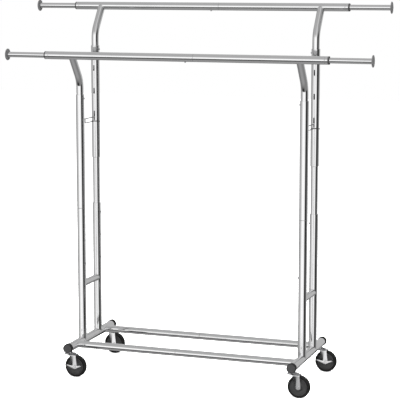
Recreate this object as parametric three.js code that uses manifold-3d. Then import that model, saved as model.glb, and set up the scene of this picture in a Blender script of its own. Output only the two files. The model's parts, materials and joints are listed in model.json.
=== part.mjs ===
// Rolling clothes rack: plated steel tube, two hang rods at two heights, pull-out rod ends, swivel casters.
// Millimetres, +X along the rods, +Y to the rear, +Z up, origin on the floor under the middle.
import * as THREE from 'three';
import { mergeVertices } from 'three/addons/utils/BufferGeometryUtils.js';
import Module from 'manifold-3d';

const wasm = await Module();
wasm.setup();

// ---- Driving dimensions -------------------------------------------------------------------------

// Frame
const frameSpacing = 1040;        // centre to centre of the two end frames
const postSpacing = 177;          // front post to rear post
const railSpacing = 324;          // front to rear bottom rail
const rodSpacing = 344;           // front to rear hang rod
const footLength = 516;           // foot tube without its caps
const footAxisHeight = 134;
const lowerPostTop = 747;
const upperPostLength = 513;
const crossBarHeight = 397;
const rodEnd = 643.5;             // half length of a hang rod without its pull-out ends
const pullOutReach = 182;         // bare length of a pull-out rod, from bush to disc

// Arms, from the top of an upper post
const armRise = 178;              // up to the axis of the hang rod
const armLean = THREE.MathUtils.degToRad(36);
const armBendRadius = 100;

// Tubes
const tubeWall = 1.5;
const footDiameter = 38;
const postDiameter = 38;
const innerPostDiameter = 32;     // drawn-down end of an upper post, and the arms
const crossBarDiameter = 30;
const railDiameter = 33;
const rodDiameter = 35;
const pullOutDiameter = 24;
const ventDiameter = 8;           // holes that open a welded tube for plating

// Height setting: front frame in its lowest hole, rear frame in its highest
const holePitch = 106;
const heightSteps = 2;
const heightButtonDrop = 254.5;   // from the shoulder of an upper post down to its snap button
const innerPostTail = 40;         // tube below that button
const drawLength = 8;             // the bore narrows this far above the shoulder

// Slots for the wire clips, on the faces of the upper posts that look at each other
const slotCount = 3;
const slotPitch = 104;
const slotLength = 26;
const slotWidth = 6;
const slotDrop = 102;             // from the top of an upper post to the middle of its first slot

// Plug-in joints
const armPlug = 60;               // arm held inside the upper post
const armButtonDrop = 17;         // from the top of an upper post down to the arm's snap button
const rodSeam = 49.5;             // X where the two halves of a hang rod meet
const rodPlug = 70;
const rodButtonInset = 38.5;      // from the seam back to the snap button
const railSeam = -37;             // X where the two halves of a bottom rail meet
const railPlug = 55;
const railButtonInset = 25.7;
const railButtonTilt = THREE.MathUtils.degToRad(18);

// Snap buttons
const buttonDiameter = 8;
const buttonStand = 3.5;          // how far a button stands out of its tube
const springWidth = 7;
const springThickness = 0.8;
const springLength = 24;

// Rod ends
const grooveInset = 13.5;
const grooveDepth = 0.7;
const grooveWidth = 5;
const bushFlange = 5.5;
const bushRounding = 1.5;
const bushSleeve = 60;
const guideLength = 20;           // widened inner end of a pull-out rod
const pullOutTravel = 60;         // further out, until the widened end meets the bush
const discDiameter = 52;
const discThickness = 4;
const discPlug = 18;

// Foot caps
const capDiameter = 42;
const capFlange = 5.7;
const capRounding = 2;
const capPlug = 20;

// Wire clips
const wireDiameter = 3;
const clipPivotReach = 4;         // how far the swinging point stands off the front post
const clipDepth = 20;             // upper wire to lower wire
const clipLeg = 10;               // hook inside the front post
const clipHook = 15;              // hook on the rear post
const clipBarIn = 12;             // cross piece, either side of the post axis
const clipBarOut = 30;
const clipReturn = 31;            // from the swinging point to where the lower wire rises

// Casters
const casterSpacing = 457;        // front to rear swivel axis
const wheelRadius = 50;
const wheelWidth = 24;
const treadCrown = 3;
const treadShoulder = 5;          // width of the sloping edge of the tread
const rimWidth = 11;
const hubWidth = 28;
const hubRadius = 13;
const wheelRecess = 5;
const axleDiameter = 8;
const axleHeadDiameter = 13;
const axleHead = 2;
const trail = 27;                 // axle behind the swivel axis
const forkSheet = 2;
const forkInside = 29;
const forkFront = 0.5;
const forkRear = 33;
const forkEndRadius = 11;
const forkFold = 4;               // straight top of a fork leg below the crown
const crownRadius = 21;
const wheelClearance = 1.5;       // tyre to crown
const kingPinDiameter = 9;
const kingPinHeadDiameter = 15;
const kingPinHead = 3;
const racewayDiameter = 54;
const racewayThickness = 3.4;
const collarDiameter = 22;
const stemDiameter = 11;
const stemLength = 30;

// Brake levers
const leverSheet = 2.6;
const leverFront = 42;
const leverRear = 37;
const leverTipTop = 8;
const leverTipHeight = 3.2;
const leverBottom = 9.5;
const leverBoss = 9;
const padLength = 7;
const padReach = 10;
const padThickness = 2.4;

// Clearances
const gap = 0.3;                  // between parts that touch
const runningGap = 0.5;           // around pins that turn or slide

// Facets of the round parts
const tubeSides = 12;
const pinSides = 12;
const wheelSides = 24;
const wireSides = 6;
const bendSteps = 4;

// ---- Values that follow -------------------------------------------------------------------------

const frameX = frameSpacing / 2;
const postY = postSpacing / 2;
const railY = railSpacing / 2;
const rodY = rodSpacing / 2;
const casterY = casterSpacing / 2;
const footRadius = footDiameter / 2;
const postRadius = postDiameter / 2;
const innerPostRadius = innerPostDiameter / 2;
const postBore = innerPostRadius + gap;
const innerPostBore = innerPostRadius - tubeWall;
const rodRadius = rodDiameter / 2;
const rodBore = rodRadius - tubeWall;
const railRadius = railDiameter / 2;
const railBore = railRadius - tubeWall;
const pullOutRadius = pullOutDiameter / 2;
const pullOutGrip = bushSleeve + pullOutTravel + guideLength;
const buttonRadius = buttonDiameter / 2;
const wireRadius = wireDiameter / 2;
const frontPostBottom = lowerPostTop + gap;
const lowestHole = frontPostBottom - heightButtonDrop;
const crownBottom = 2 * wheelRadius + wheelClearance;
const racewayBottom = crownBottom + forkSheet + gap;
const footBottom = footAxisHeight - footRadius;

// ---- Materials ----------------------------------------------------------------------------------

const chrome = new THREE.MeshStandardMaterial({ color: 0xd2d4d6, roughness: 0.12, metalness: 1 });
const steel = new THREE.MeshStandardMaterial({ color: 0xb4b6b8, roughness: 0.3, metalness: 1 });
const blackPlastic = new THREE.MeshStandardMaterial({ color: 0x1b1b1c, roughness: 0.5, metalness: 0 });
const greyPlastic = new THREE.MeshStandardMaterial({ color: 0x5e5e60, roughness: 0.5, metalness: 0 });
const wheelRubber = new THREE.MeshStandardMaterial({ color: 0x343436, roughness: 0.65, metalness: 0 });

// ---- Solids -------------------------------------------------------------------------------------

function toSolid(geometry) {
  const bare = geometry.clone();
  bare.deleteAttribute('normal');
  bare.deleteAttribute('uv');
  const merged = mergeVertices(bare, 1e-3);
  const triVerts = new Uint32Array(merged.index.array);
  const vertProperties = new Float32Array(merged.attributes.position.array);
  return new wasm.Manifold(new wasm.Mesh({ numProp: 3, vertProperties, triVerts }));
}

function toGeometry(solid) {
  const mesh = solid.getMesh();
  const geometry = new THREE.BufferGeometry();
  geometry.setAttribute('position', new THREE.BufferAttribute(new Float32Array(mesh.vertProperties), 3));
  geometry.setIndex(new THREE.BufferAttribute(new Uint32Array(mesh.triVerts), 1));
  geometry.computeVertexNormals();
  return geometry;
}

function cut(geometry, ...tools) {
  return toGeometry(tools.reduce((rest, tool) => rest.subtract(toSolid(tool)), toSolid(geometry)));
}

function join(...geometries) {
  return toGeometry(geometries.map(toSolid).reduce((sum, next) => sum.add(next)));
}

// A solid of revolution about Z; its outline of [radius, z] runs upwards on the outside.
function turned(outline, sides = tubeSides) {
  const geometry = new THREE.LatheGeometry(outline.map(([r, z]) => new THREE.Vector2(r, z)), sides);
  return geometry.rotateX(Math.PI / 2);
}

function tube(radius, bore, low, high, sides = tubeSides) {
  return turned([[radius, low], [radius, high], [bore, high], [bore, low], [radius, low]], sides);
}

function bar(radius, low, high, sides = tubeSides) {
  return turned([[0, low], [radius, low], [radius, high], [0, high]], sides);
}

const alongX = (geometry) => geometry.rotateY(Math.PI / 2);
const alongY = (geometry) => geometry.rotateX(-Math.PI / 2);

// A flat outline in X and Z, given a thickness along Y and centred on the given Y.
function plate(shape, thickness, y = 0) {
  const geometry = new THREE.ExtrudeGeometry(shape, { depth: thickness, bevelEnabled: false, curveSegments: 6 });
  return geometry.rotateX(Math.PI / 2).translate(0, y + thickness / 2, 0);
}

function circle(radius) {
  return new THREE.Shape().absarc(0, 0, radius, 0, 2 * Math.PI, false);
}

// A straight piece of wire between two points, lengthened by its own radius at both ends.
function wire(from, to) {
  const start = new THREE.Vector3(...from);
  const end = new THREE.Vector3(...to);
  const along = end.clone().sub(start);
  const piece = bar(wireRadius, -wireRadius, along.length() + wireRadius, wireSides);
  const turn = new THREE.Quaternion().setFromUnitVectors(new THREE.Vector3(0, 0, 1), along.normalize());
  return piece.applyQuaternion(turn).translate(start.x, start.y, start.z);
}

// ---- The rack and how its meshes are placed -----------------------------------------------------

const rack = new THREE.Group();
const sides = [['left', -1], ['right', 1]];
const ends = [['front', -1], ['rear', 1]];

function place(name, geometry, material, position, parent = rack) {
  const mesh = new THREE.Mesh(geometry, material);
  mesh.name = name;
  mesh.position.set(...position);
  parent.add(mesh);
  return mesh;
}

const inward = (side) => (side < 0 ? 0 : Math.PI);
const outward = (side) => (side < 0 ? Math.PI : 0);

// ---- Snap buttons and what they need ------------------------------------------------------------

// The drill for a snap button in a tube about Z, in the wall on the side given by its turn.
function buttonDrill(z, turn) {
  return alongX(bar(buttonRadius + runningGap, 0, postDiameter, pinSides)).rotateZ(turn).translate(0, 0, z);
}

// A snap button that points along +X out of a tube about Z, on the leaf spring inside that tube.
function snapButton(bore, outerRadius) {
  const tip = outerRadius + buttonStand;
  const facetRadius = bore * Math.cos(Math.PI / tubeSides);
  const seat = Math.sqrt(facetRadius ** 2 - (springWidth / 2) ** 2) - gap;
  const pin = alongX(turned([
    [0, seat - springThickness],
    [buttonRadius, seat - springThickness],
    [buttonRadius, tip - 1.5],
    [buttonRadius - 1.5, tip],
    [0, tip],
  ], pinSides));
  const leaf = new THREE.BoxGeometry(springThickness, springWidth, springLength);
  leaf.translate(seat - springThickness / 2, 0, 0);
  return join(pin, leaf);
}

// ---- Base ---------------------------------------------------------------------------------------

function footTube() {
  const holes = ends.map(([, end]) => (
    bar(stemDiameter / 2 + gap, -footDiameter, 0, pinSides).translate(0, end * casterY, 0)
  ));
  return cut(alongY(tube(footRadius, footRadius - tubeWall, -footLength / 2, footLength / 2)), ...holes);
}

// A cap pushed into the foot end that points along +Y when it is at the origin.
function footCap() {
  const plug = footRadius - tubeWall - gap;
  const seat = footLength / 2 + gap;
  const face = footLength / 2 + capFlange;
  const rim = capDiameter / 2;
  return alongY(turned([
    [0, seat - capPlug],
    [plug, seat - capPlug],
    [plug, seat],
    [rim, seat],
    [rim, face - capRounding],
    [rim - capRounding, face],
    [0, face],
  ]));
}

// Two lower posts and the cross bar welded between them, coped onto the foot at local Z = 0.
// The height holes look at the other end frame; vent holes open the cross bar into the posts.
function endFrame(side) {
  const barRadius = crossBarDiameter / 2;
  const barZ = crossBarHeight - footAxisHeight;
  const parts = [alongY(tube(barRadius, barRadius - tubeWall, -postY, postY)).translate(0, 0, barZ)];
  const vent = alongY(bar(ventDiameter / 2, -postY, postY, pinSides)).translate(0, 0, barZ);
  const tools = [alongY(bar(footRadius + gap, -footLength / 2, footLength / 2)), vent];
  for (const [, end] of ends) {
    const y = end * postY;
    parts.push(bar(postRadius, 0, lowerPostTop - footAxisHeight).translate(0, y, 0));
    tools.push(bar(postBore, -postDiameter, lowerPostTop).translate(0, y, 0));
    for (let step = 0; step <= heightSteps; step += 1) {
      const holeZ = lowestHole + step * holePitch - footAxisHeight;
      tools.push(buttonDrill(holeZ, inward(side)).translate(0, y, 0));
    }
  }
  return cut(join(...parts), ...tools);
}

// The side of a tube half that is plugged into the other half, as outline points on its outside and inside.
function plugOutline(radius, bore, seam, length) {
  const plug = bore - gap;
  const shoulder = seam + gap;
  return {
    outside: [[plug, seam - length], [plug, shoulder], [radius, shoulder]],
    inside: [[bore, shoulder + tubeWall], [plug - tubeWall, shoulder], [plug - tubeWall, seam - length]],
  };
}

function railHalf(side) {
  const cope = alongY(bar(footRadius + gap, -footLength / 2, footLength / 2)).translate(side * frameX, 0, 0);
  const drill = buttonDrill(0, 0).rotateY(Math.PI / 2).rotateX(railButtonTilt - Math.PI / 2);
  drill.translate(railSeam - railButtonInset, 0, 0);
  if (side < 0) {
    return cut(alongX(tube(railRadius, railBore, -frameX, railSeam)), cope, drill);
  }
  const { outside, inside } = plugOutline(railRadius, railBore, railSeam, railPlug);
  const body = alongX(turned([...outside, [railRadius, frameX], [railBore, frameX], ...inside, outside[0]]));
  return cut(body, cope, drill);
}

function addBase() {
  for (const [sideName, side] of sides) {
    const x = side * frameX;
    place(`foot_${sideName}`, footTube(), chrome, [x, 0, footAxisHeight]);
    place(`end_frame_${sideName}`, endFrame(side), chrome, [x, 0, footAxisHeight]);
    for (const [endName, end] of ends) {
      const name = `${endName}_${sideName}`;
      place(`foot_cap_${name}`, footCap(), blackPlastic, [x, 0, footAxisHeight]).rotation.z = outward(end);
      place(`bottom_rail_${name}`, railHalf(side), chrome, [0, end * railY, footAxisHeight]);
    }
  }
  for (const [endName, end] of ends) {
    const button = place(
      `rail_button_${endName}`, snapButton(railBore - gap - tubeWall, railRadius), steel,
      [railSeam - railButtonInset, end * railY, footAxisHeight],
    );
    button.rotation.set(railButtonTilt - Math.PI / 2, Math.PI / 2, 0);
  }
}

// ---- Hang frames --------------------------------------------------------------------------------

// Clip slot through the wall on the +Y side of a tube about Z.
function slotDrill(z) {
  const half = slotWidth / 2;
  const straight = slotLength / 2 - half;
  const shape = new THREE.Shape();
  shape.moveTo(half, -straight);
  shape.lineTo(half, straight);
  shape.absarc(0, straight, half, 0, Math.PI, false);
  shape.lineTo(-half, -straight);
  shape.absarc(0, -straight, half, Math.PI, 2 * Math.PI, false);
  return plate(shape, postDiameter, postRadius).translate(0, 0, z);
}

// Tube drawn down below its shoulder at local Z = 0 to slide in a lower post.
// The slots look at the other hang frame, both button holes at the other end of the rack.
function upperPost(side, end) {
  const low = -heightButtonDrop - innerPostTail;
  const tools = [-heightButtonDrop, upperPostLength - armButtonDrop].map((z) => buttonDrill(z, inward(side)));
  for (let index = 0; index < slotCount; index += 1) {
    tools.push(slotDrill(upperPostLength - slotDrop - index * slotPitch).rotateZ(inward(end)));
  }
  const body = turned([
    [innerPostRadius, low],
    [innerPostRadius, 0],
    [postRadius, 0],
    [postRadius, upperPostLength],
    [postBore, upperPostLength],
    [postBore, drawLength],
    [innerPostBore, drawLength - (postBore - innerPostBore)],
    [innerPostBore, low],
    [innerPostRadius, low],
  ]);
  return cut(body, ...tools);
}

// Centre line of an arm that leans to the side given by end: straight, bent, straight.
class ArmLine extends THREE.Curve {
  constructor(end) {
    super();
    this.end = end;
    this.reach = rodY - postY;
    const corner = armRise - this.reach / Math.tan(armLean);
    this.bendStart = corner - armBendRadius * Math.tan(armLean / 2);
  }

  getUtoTmapping(u) {
    return u;
  }

  getPoint(t) {
    const station = t * (bendSteps + 2);
    if (station <= 1) {
      return new THREE.Vector3(0, 0, THREE.MathUtils.lerp(-armPlug, this.bendStart, station));
    }
    const angle = Math.min((station - 1) / bendSteps, 1) * armLean;
    const y = armBendRadius * (1 - Math.cos(angle));
    const z = this.bendStart + armBendRadius * Math.sin(angle);
    const rest = Math.max(station - 1 - bendSteps, 0);
    const endY = THREE.MathUtils.lerp(y, this.reach, rest);
    return new THREE.Vector3(0, this.end * endY, THREE.MathUtils.lerp(z, armRise, rest));
  }
}

// Half of a hang rod with its arm welded on, and the crimped groove that holds its bush.
// Local X = 0 is the middle of the rack; local Y = 0 and Z = 0 is the rod's axis.
function rodHalf(side, end) {
  const groove = rodEnd - grooveInset;
  const half = grooveWidth / 2;
  const tail = [
    [rodRadius, groove - half],
    [rodRadius - grooveDepth, groove],
    [rodRadius, groove + half],
    [rodRadius, rodEnd],
    [rodBore, rodEnd],
    [rodBore, groove + half],
    [rodBore - grooveDepth, groove],
    [rodBore, groove - half],
  ];
  let outline = [[rodRadius, -rodSeam], ...tail, [rodBore, -rodSeam], [rodRadius, -rodSeam]];
  if (side > 0) {
    const { outside, inside } = plugOutline(rodRadius, rodBore, rodSeam, rodPlug);
    outline = [...outside, ...tail, ...inside, outside[0]];
  }
  const rod = alongX(turned(outline)).rotateZ(outward(side));
  const extrudePath = new ArmLine(end);
  const sweep = (radius) => new THREE.ExtrudeGeometry(circle(radius), {
    steps: bendSteps + 2, curveSegments: tubeSides / 2, bevelEnabled: false, extrudePath,
  });
  const cope = alongX(bar(rodRadius - tubeWall / 2, -rodDiameter, rodDiameter));
  cope.translate(0, end * extrudePath.reach, armRise);
  const arm = cut(sweep(innerPostRadius), sweep(innerPostBore), cope, buttonDrill(-armButtonDrop, inward(side)));
  arm.translate(side * frameX, -end * extrudePath.reach, -armRise);
  const rodDrill = buttonDrill(0, 0).rotateY(Math.PI / 2).translate(rodSeam - rodButtonInset, 0, 0);
  return join(cut(rod, rodDrill), arm);
}

// Bush along +X, measured from the end of the hang rod: flange outside, waist under the crimped groove.
function rodBush() {
  const sleeve = rodBore - gap;
  const half = grooveWidth / 2;
  const bore = pullOutRadius + gap;
  return alongX(turned([
    [sleeve, -bushSleeve],
    [sleeve, -grooveInset - half],
    [sleeve - grooveDepth, -grooveInset],
    [sleeve, -grooveInset + half],
    [sleeve, gap],
    [rodRadius, gap],
    [rodRadius, bushFlange - bushRounding],
    [rodRadius - bushRounding, bushFlange],
    [bore, bushFlange],
    [bore, -bushSleeve],
    [sleeve, -bushSleeve],
  ]));
}

// Pull-out rod along +X, measured from the end of the hang rod; its inner end is widened to guide it.
function pullOutRod() {
  const guide = rodBore - grooveDepth - runningGap;
  const low = -pullOutGrip;
  const neck = low + guideLength;
  const high = bushFlange + pullOutReach;
  const bore = pullOutRadius - tubeWall;
  return alongX(turned([
    [guide, low],
    [guide, neck],
    [pullOutRadius, neck],
    [pullOutRadius, high],
    [bore, high],
    [bore, neck - tubeWall],
    [guide - tubeWall, neck - tubeWall],
    [guide - tubeWall, low],
    [guide, low],
  ]));
}

function rodDisc() {
  const seat = bushFlange + pullOutReach + gap;
  const face = seat + discThickness;
  const rim = discDiameter / 2;
  const plug = bar(pullOutRadius - tubeWall - gap, seat - discPlug, seat + discThickness / 2);
  const disc = turned([[0, seat], [rim, seat], [rim, face - 1], [rim - 1, face], [0, face]], wheelSides);
  return alongX(join(plug, disc));
}

function addHangFrame(endName, end, rise) {
  const postBottom = frontPostBottom + rise;
  const postTop = postBottom + upperPostLength;
  const rodZ = postTop + armRise;
  for (const [sideName, side] of sides) {
    const x = side * frameX;
    const y = end * postY;
    const name = `${endName}_${sideName}`;
    place(`upper_post_${name}`, upperPost(side, end), chrome, [x, y, postBottom]);
    place(`hang_rod_${name}`, rodHalf(side, end), chrome, [0, end * rodY, rodZ]);
    const armButton = place(
      `arm_button_${name}`, snapButton(innerPostBore, postRadius), steel, [x, y, postTop - armButtonDrop],
    );
    armButton.rotation.z = inward(side);
    const heightButton = place(
      `height_button_${name}`, snapButton(innerPostBore, postRadius), steel, [x, y, postBottom - heightButtonDrop],
    );
    heightButton.rotation.z = inward(side);
    const pullOut = new THREE.Group();
    pullOut.position.set(side * rodEnd, end * rodY, rodZ);
    pullOut.rotation.z = outward(side);
    rack.add(pullOut);
    place(`rod_bush_${name}`, rodBush(), blackPlastic, [0, 0, 0], pullOut);
    place(`pull_out_rod_${name}`, pullOutRod(), chrome, [0, 0, 0], pullOut);
    place(`rod_end_disc_${name}`, rodDisc(), greyPlastic, [0, 0, 0], pullOut);
  }
  const rodButton = place(
    `rod_button_${endName}`, snapButton(rodBore - gap - tubeWall, rodRadius), steel,
    [rodSeam - rodButtonInset, end * rodY, rodZ],
  );
  rodButton.rotation.y = Math.PI / 2;
}

// ---- Wire clips ---------------------------------------------------------------------------------

// Hooked into the top slot of a front upper post; local Y = 0 and Z = 0 is the point it swings about.
function wireClip() {
  const pivotY = postRadius + clipPivotReach;
  const hookY = -clipPivotReach - (postRadius - postBore) - gap - wireRadius;
  const rearY = postSpacing - postRadius - gap - wireRadius - pivotY;
  return join(
    wire([0, hookY, -clipLeg], [0, hookY, 0]),
    wire([0, hookY, 0], [0, rearY, 0]),
    wire([0, rearY, 0], [0, rearY, -clipHook]),
    wire([0, clipReturn, 0], [0, clipReturn, -clipDepth]),
    wire([0, clipReturn, -clipDepth], [0, rearY, -clipDepth]),
    wire([-clipBarIn, rearY, -clipDepth], [clipBarOut, rearY, -clipDepth]),
  );
}

function addWireClips() {
  const slotBottom = frontPostBottom + upperPostLength - slotDrop - slotLength / 2;
  const z = slotBottom + wireRadius + gap;
  for (const [sideName, side] of sides) {
    place(`wire_clip_${sideName}`, wireClip(), steel, [side * frameX, -postY + postRadius + clipPivotReach, z]);
  }
}

// ---- Casters ------------------------------------------------------------------------------------

// Everything under a foot that doesn't swivel, in one turned piece: head, king pin, raceway, collar, stem.
function casterStem() {
  const pin = kingPinDiameter / 2;
  const headTop = crownBottom - gap;
  const racewayTop = racewayBottom + racewayThickness;
  const collarTop = footBottom - gap;
  const stem = stemDiameter / 2;
  return turned([
    [0, headTop - kingPinHead],
    [kingPinHeadDiameter / 2, headTop - kingPinHead],
    [kingPinHeadDiameter / 2, headTop],
    [pin, headTop],
    [pin, racewayBottom],
    [racewayDiameter / 2, racewayBottom],
    [racewayDiameter / 2, racewayTop],
    [collarDiameter / 2, racewayTop],
    [collarDiameter / 2, collarTop],
    [stem, collarTop],
    [stem, collarTop + stemLength],
    [0, collarTop + stemLength],
  ]);
}

// Bent sheet fork with its riveted axle; local origin is the floor under its swivel axis, its trail along +X.
// The axle is longer towards -Y by the room that a brake lever needs.
function fork(leverRoom) {
  const crownTop = crownBottom + forkSheet;
  const legFold = crownBottom - forkFold;
  const leg = new THREE.Shape();
  leg.moveTo(forkFront, crownTop);
  leg.lineTo(forkFront, legFold);
  leg.lineTo(trail - forkEndRadius, wheelRadius);
  leg.absarc(trail, wheelRadius, forkEndRadius, Math.PI, 2 * Math.PI, false);
  leg.lineTo(forkRear, legFold);
  leg.lineTo(forkRear, crownTop);
  const outside = forkInside / 2 + forkSheet;
  const legs = [-1, 1].map((face) => plate(leg, forkSheet, face * (outside - forkSheet / 2)));
  const crown = bar(crownRadius, crownBottom, crownTop, wheelSides);
  const bridge = new THREE.BoxGeometry(forkRear - forkFront, 2 * outside, forkSheet);
  bridge.translate((forkRear + forkFront) / 2, 0, crownBottom + forkSheet / 2);
  const pinHole = bar(kingPinDiameter / 2 + runningGap, crownBottom - forkSheet, racewayBottom, pinSides);
  const shell = cut(join(...legs, crown, bridge), pinHole);
  const rivet = axleHeadDiameter / 2;
  const pin = axleDiameter / 2;
  const lowSeat = leverRoom > 0 ? -outside - gap - leverRoom : -outside;
  const axle = alongY(turned([
    [0, lowSeat - axleHead],
    [rivet - 1, lowSeat - axleHead],
    [rivet, lowSeat],
    [pin, lowSeat],
    [pin, outside],
    [rivet, outside],
    [rivet - 1, outside + axleHead],
    [0, outside + axleHead],
  ], pinSides));
  return join(shell, axle.translate(trail, 0, wheelRadius));
}

// Tyre and hub in one; it is turned by half a facet to stand on a flat one.
function wheel() {
  const half = wheelWidth / 2;
  const corner = Math.PI / wheelSides;
  const tread = wheelRadius / Math.cos(corner);
  const rim = wheelRadius - rimWidth;
  const hub = hubWidth / 2;
  const bore = axleDiameter / 2 + runningGap;
  const side = [
    [tread, half - treadShoulder],
    [tread - treadCrown, half],
    [rim, half],
    [rim - 2, half - wheelRecess],
    [hubRadius + 2, half - wheelRecess],
    [hubRadius, hub],
    [bore, hub],
  ];
  const other = side.map(([r, y]) => [r, -y]).reverse();
  return alongY(turned([...other, ...side, other[0]], wheelSides)).rotateY(corner);
}

// Rocking brake lever on the axle, outside the fork: a shallow V with a foot pad at each tip.
function brakeLever() {
  const inner = -(forkInside / 2 + forkSheet + gap);
  const bossHalf = leverBoss / 2;
  const shape = new THREE.Shape();
  shape.moveTo(-leverFront, leverTipTop - leverTipHeight);
  shape.lineTo(-bossHalf, -leverBottom);
  shape.lineTo(bossHalf, -leverBottom);
  shape.lineTo(leverRear, leverTipTop - leverTipHeight);
  shape.lineTo(leverRear, leverTipTop);
  shape.lineTo(leverBoss, leverBoss / 2);
  shape.absarc(0, 0, leverBoss, Math.PI / 6, (5 * Math.PI) / 6, false);
  shape.lineTo(-leverBoss, leverBoss / 2);
  shape.lineTo(-leverFront, leverTipTop);
  const web = plate(shape, leverSheet, inner - leverSheet / 2);
  const pads = [-leverFront + padLength / 2, leverRear - padLength / 2].map((x) => {
    const pad = new THREE.BoxGeometry(padLength, padReach + leverSheet, padThickness);
    return pad.translate(x, inner - (padReach + leverSheet) / 2, leverTipTop - padThickness / 2);
  });
  const hole = alongY(bar(axleDiameter / 2 + runningGap, -forkInside, 0, pinSides));
  return cut(join(web, ...pads), hole);
}

function addCasters() {
  for (const [sideName, side] of sides) {
    for (const [endName, end] of ends) {
      const name = `${endName}_${sideName}`;
      const braked = side === end;
      const caster = new THREE.Group();
      caster.position.set(side * frameX, end * casterY, 0);
      rack.add(caster);
      place(`caster_stem_${name}`, casterStem(), steel, [0, 0, 0], caster);
      place(`caster_fork_${name}`, fork(braked ? leverSheet + gap : 0), chrome, [0, 0, 0], caster);
      place(`wheel_${name}`, wheel(), wheelRubber, [trail, 0, wheelRadius], caster);
      if (braked) {
        place(`brake_lever_${name}`, brakeLever(), chrome, [trail, 0, wheelRadius], caster);
      }
    }
  }
}

addBase();
addHangFrame('front', -1, 0);
addHangFrame('rear', 1, heightSteps * holePitch);
addWireClips();
addCasters();

export default rack;
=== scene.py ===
import json
import math

import bpy
from mathutils import Euler, Matrix, Vector


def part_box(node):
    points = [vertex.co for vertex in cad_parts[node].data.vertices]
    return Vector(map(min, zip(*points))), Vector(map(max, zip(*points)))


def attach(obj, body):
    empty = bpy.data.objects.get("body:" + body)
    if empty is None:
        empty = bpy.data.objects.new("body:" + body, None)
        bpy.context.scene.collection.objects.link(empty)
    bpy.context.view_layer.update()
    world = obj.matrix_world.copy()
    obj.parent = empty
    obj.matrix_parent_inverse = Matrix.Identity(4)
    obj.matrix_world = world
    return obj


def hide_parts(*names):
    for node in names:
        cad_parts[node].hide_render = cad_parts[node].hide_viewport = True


bl_info = {
    "name": "Rolling Clothes Rack",
    "version": (1, 0, 0),
    "blender": (4, 5, 0),
    "location": "View3D > Sidebar > Clothes Rack",
    "description": "Builds the visible pieces of a chromed rolling clothes rack on its CAD frame",
    "category": "Object",
}

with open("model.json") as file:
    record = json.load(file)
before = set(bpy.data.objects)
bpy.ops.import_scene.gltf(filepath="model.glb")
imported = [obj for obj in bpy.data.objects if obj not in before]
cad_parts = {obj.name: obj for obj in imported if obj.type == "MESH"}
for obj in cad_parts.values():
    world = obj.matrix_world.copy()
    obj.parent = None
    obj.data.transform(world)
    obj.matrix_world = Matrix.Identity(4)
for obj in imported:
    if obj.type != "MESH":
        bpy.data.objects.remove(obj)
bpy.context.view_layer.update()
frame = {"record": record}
BODIES = frame["record"]["behaviour"]["bodies"]
BODY_OF = {node: body for body, nodes in BODIES.items() for node in nodes}
SIDES = (("left", -1), ("right", 1))
ENDS = (("front", -1), ("rear", 1))
MM = 0.001

CLEARANCE = 0.3 * MM  # between a plug and its bore
BUTTON_HOLE = 4.5 * MM  # radius of the hole that a snap button comes through
BUTTON_REACH = 3.5 * MM  # how far a button stands out of its tube
RAIL_BUTTON_DROP = 18  # degrees from level, as the rail buttons point down and forward
HOLE_PITCH = 106 * MM
SHOULDER_RISE = 254.5 * MM  # from a height button up to the shoulder of its upper post
ARM_BUTTON_DEPTH = 17 * MM  # from the top of an upper post down to its arm button
BAR_HEIGHT = 397 * MM
BAR_RADIUS = 15 * MM
ARM_PLUG = 60 * MM
PULL_OUT_RADIUS = 12 * MM
ONE_WALL = 40 * MM  # depth of a drill that starts on a tube's axis and goes through one wall only
COPE = 0.1 * MM  # how far a coped end bites into the tube that it is welded to
ON_SURFACE = 0.2 * MM  # how near to a surface a vertex counts as lying on it
ON_SADDLE = 0.6 * MM  # the same for the edge where two tubes meet
COPE_SIDES = 96
TRAIL = 27 * MM  # from a caster's king pin back to its axle
AXLE_HEIGHT = 50 * MM
LEG_SEAT = 16.5 * MM  # from the middle of a wheel out to the fork's outer face
LEVER_SHEET = 2.6 * MM


def turn_by(x=0, y=0, z=0):
    """A turn about X, then Y, then Z, in degrees."""
    return Euler([math.radians(angle) for angle in (x, y, z)]).to_matrix().to_4x4()


ALONG_X = turn_by(y=90)
ALONG_Y = turn_by(x=-90)
HALF_TURN = turn_by(z=180)
UPRIGHT = Matrix.Identity(4)


# ---- Where the CAD parts are --------------------------------------------------------------------

def middle(node):
    low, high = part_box(node)
    return (low + high) / 2


def extent(node):
    low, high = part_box(node)
    return high - low


POST_RADIUS = extent("foot_left").x / 2
POST_X = {name: middle(f"end_frame_{name}").x for name, _ in SIDES}
POST_Y = {name: sign * (extent("end_frame_left").y / 2 - POST_RADIUS) for name, sign in ENDS}
FOOT_Z = middle("foot_left").z
INNER_RADIUS = 16 * MM
SLIDE_BORE = INNER_RADIUS + CLEARANCE
ROD_RADIUS = extent("rod_bush_front_left").y / 2
RAIL_RADIUS = extent("bottom_rail_front_left").y / 2
ROD_Y = {name: middle(f"rod_bush_{name}_left").y for name, _ in ENDS}
ROD_Z = {name: middle(f"rod_bush_{name}_left").z for name, _ in ENDS}
POST_TOP = {name: middle(f"arm_button_{name}_left").z + ARM_BUTTON_DEPTH for name, _ in ENDS}
POST_FOOT = {name: middle(f"height_button_{name}_left").z + SHOULDER_RISE for name, _ in ENDS}
RAIL_Y = {name: middle(f"bottom_rail_{name}_left").y for name, _ in ENDS}
ROD_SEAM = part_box("hang_rod_front_left")[1].x
RAIL_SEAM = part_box("bottom_rail_front_left")[1].x


# ---- What a user can change ---------------------------------------------------------------------

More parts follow.
